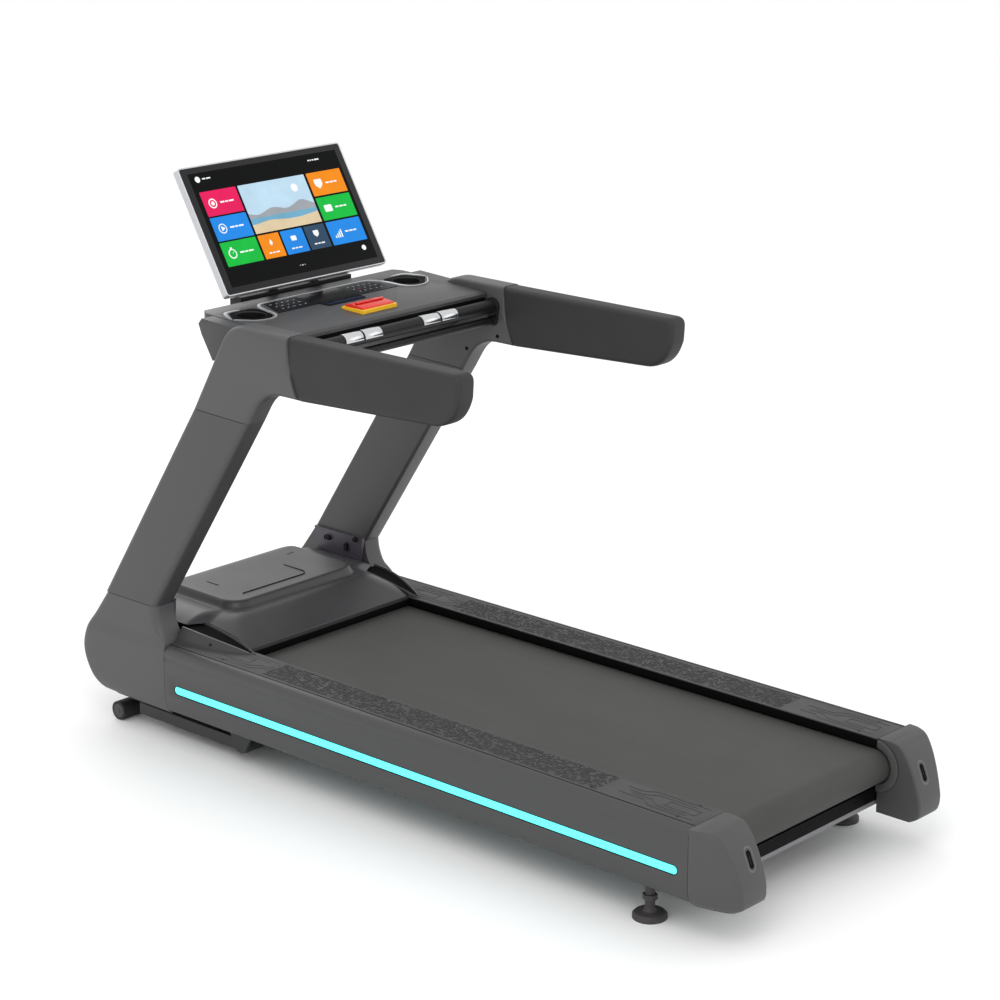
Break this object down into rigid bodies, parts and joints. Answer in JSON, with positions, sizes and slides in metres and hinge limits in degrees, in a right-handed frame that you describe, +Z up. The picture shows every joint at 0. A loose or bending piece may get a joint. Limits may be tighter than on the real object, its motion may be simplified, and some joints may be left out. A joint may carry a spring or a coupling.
{
  "type": "treadmill",
  "caption": "Commercial treadmill with leaning uprights, padded armrests, wide console with a tilting screen, cushioned deck and powered incline lift.",
  "frame": {"origin": "on the floor under the middle of the machine: the centre of the bounding box, at its bottom", "axes": "+X to the runner's right, +Y from the open rear end towards the console, +Z up"},
  "size_m": [0.822, 2.134, 1.4511],
  "materials": {
    "frame_paint": "satin powder coat",
    "crossbar_black": "satin powder coat",
    "bar_grey": "satin powder coat",
    "deck_board": "phenolic-faced board",
    "cushion_rubber": "moulded",
    "belt_pvc": "fine textured",
    "roller_steel": "turned",
    "bare_steel": "zinc plated",
    "motor_paint": "satin",
    "drive_rubber": "ribbed",
    "controller_alu": "satin",
    "wheel_rubber": "ribbed",
    "foot_rubber": "moulded",
    "panel_plastic": "fine spark-eroded texture",
    "light_strip": "diffuse light strip",
    "rail_plastic": "moulded grip pattern",
    "screw_black": "black oxide",
    "cap_plastic": "fine texture",
    "hood_plastic": "satin",
    "boot_plastic": "fine texture",
    "upright_paint": "satin powder coat",
    "bracket_paint": "satin",
    "armrest_foam": "soft matte foam skin",
    "pulse_bar_plastic": "satin",
    "pad_steel": "polished",
    "console_plastic": "fine texture",
    "liner_plastic": "matte",
    "trim_chrome": "bright",
    "panel_gloss": "printed overlay",
    "stop_yellow": "gloss",
    "stop_red": "gloss",
    "mount_plastic": "matte",
    "screen_silver": "silver lacquer",
    "screen_gloss": "glass front",
    "rocker_red": "gloss"
  },
  "bodies": {
    "frame": {"frame_rails": "frame_paint", "rail_outriggers": "frame_paint", "rail_brackets": "frame_paint", "frame_crossmembers": "frame_paint", "rear_crossbar": "crossbar_black", "rear_lower_bar": "bar_grey", "motor_mount": "frame_paint", "running_deck": "deck_board", "deck_cushions": "cushion_rubber", "running_belt": "belt_pvc", "roller_axles": "bare_steel", "tension_bolts": "bare_steel", "drive_motor": "motor_paint", "drive_belt": "drive_rubber", "controller_box": "controller_alu", "lift_motor": "motor_paint", "side_panel_left": "panel_plastic", "side_panel_right": "panel_plastic", "led_strips": "light_strip", "foot_rail_left": "rail_plastic", "foot_rail_right": "rail_plastic", "rail_screws": "screw_black", "rear_cap_left": "cap_plastic", "rear_cap_right": "cap_plastic", "roller_guards": "cap_plastic", "motor_hood": "hood_plastic", "hood_horns": "hood_plastic", "boot_left": "boot_plastic", "boot_right": "boot_plastic", "upright_left": "upright_paint", "upright_right": "upright_paint", "upright_brackets": "bracket_paint", "bracket_bolts": "screw_black", "corner_cap_left": "boot_plastic", "corner_cap_right": "boot_plastic", "armrest_left": "armrest_foam", "armrest_right": "armrest_foam", "console_tube": "frame_paint", "pulse_bar": "pulse_bar_plastic", "pulse_pads": "pad_steel", "console_body": "console_plastic", "cup_liners": "liner_plastic", "console_trim": "trim_chrome", "key_panel": "panel_gloss", "stop_housing": "stop_yellow", "screen_mount": "mount_plastic", "power_inlet": "mount_plastic"},
    "front_roller": {"front_roller": "roller_steel"},
    "rear_roller": {"rear_roller": "roller_steel"},
    "motor_rotor": {"motor_pulley": "bare_steel"},
    "lift_arm": {"lift_arm": "frame_paint"},
    "lift_screw": {"lift_screw": "bare_steel"},
    "wheel_left": {"wheel_left": "wheel_rubber"},
    "wheel_right": {"wheel_right": "wheel_rubber"},
    "foot_left": {"foot_left": "foot_rubber"},
    "foot_right": {"foot_right": "foot_rubber"},
    "stop_button": {"stop_button": "stop_red"},
    "screen": {"screen_housing": "screen_silver", "screen_glass": "screen_gloss"},
    "power_rocker": {"power_rocker": "rocker_red"}
  },
  "joints": [
    {"name": "front_roller_spin", "type": "hinge", "parent": "frame", "child": "front_roller", "pos_m": [0, 0.62, 0.1999], "axis": [1, 0, 0], "continuous": true},
    {"name": "rear_roller_spin", "type": "hinge", "parent": "frame", "child": "rear_roller", "pos_m": [0, -0.942, 0.1999], "axis": [1, 0, 0], "continuous": true},
    {"name": "motor_spin", "type": "hinge", "parent": "frame", "child": "motor_rotor", "pos_m": [0, 0.805, 0.2139], "axis": [1, 0, 0], "continuous": true},
    {"name": "lift_swing", "type": "hinge", "parent": "frame", "child": "lift_arm", "pos_m": [0, 0.5, 0.048], "axis": [-1, 0, 0], "range_deg": [0, 34]},
    {"name": "lift_screw_travel", "type": "slide", "parent": "frame", "child": "lift_screw", "axis": [0, 1, 0], "range_m": [0, 0.04688]},
    {"name": "wheel_left_spin", "type": "hinge", "parent": "lift_arm", "child": "wheel_left", "pos_m": [-0.341, 0.96443, 0.025], "axis": [1, 0, 0], "continuous": true},
    {"name": "wheel_right_spin", "type": "hinge", "parent": "lift_arm", "child": "wheel_right", "pos_m": [0.341, 0.96443, 0.025], "axis": [1, 0, 0], "continuous": true},
    {"name": "foot_left_level", "type": "slide", "parent": "frame", "child": "foot_left", "axis": [0, 0, -1], "range_m": [0, 0.012]},
    {"name": "foot_right_level", "type": "slide", "parent": "frame", "child": "foot_right", "axis": [0, 0, -1], "range_m": [0, 0.012]},
    {"name": "stop_button_press", "type": "slide", "parent": "frame", "child": "stop_button", "axis": [0, 0, -1], "range_m": [0, 0.004], "stiffness_N_per_m": 600, "springref_m": -0.006},
    {"name": "screen_tilt", "type": "hinge", "parent": "frame", "child": "screen", "pos_m": [0, 0.66851, 1.15212], "axis": [1, 0, 0], "range_deg": [-10, 12]},
    {"name": "power_rocker_tip", "type": "hinge", "parent": "frame", "child": "power_rocker", "pos_m": [-0.213, 1.021, 0.126], "axis": [1, 0, 0], "range_deg": [0, 20]}
  ],
  "couplings": [
    {"joint": "rear_roller_spin", "follows": "front_roller_spin", "ratio": 1},
    {"joint": "motor_spin", "follows": "front_roller_spin", "ratio": 2.25},
    {"joint": "lift_screw_travel", "follows": "lift_swing", "m_per_rad": 0.07883}
  ]
}
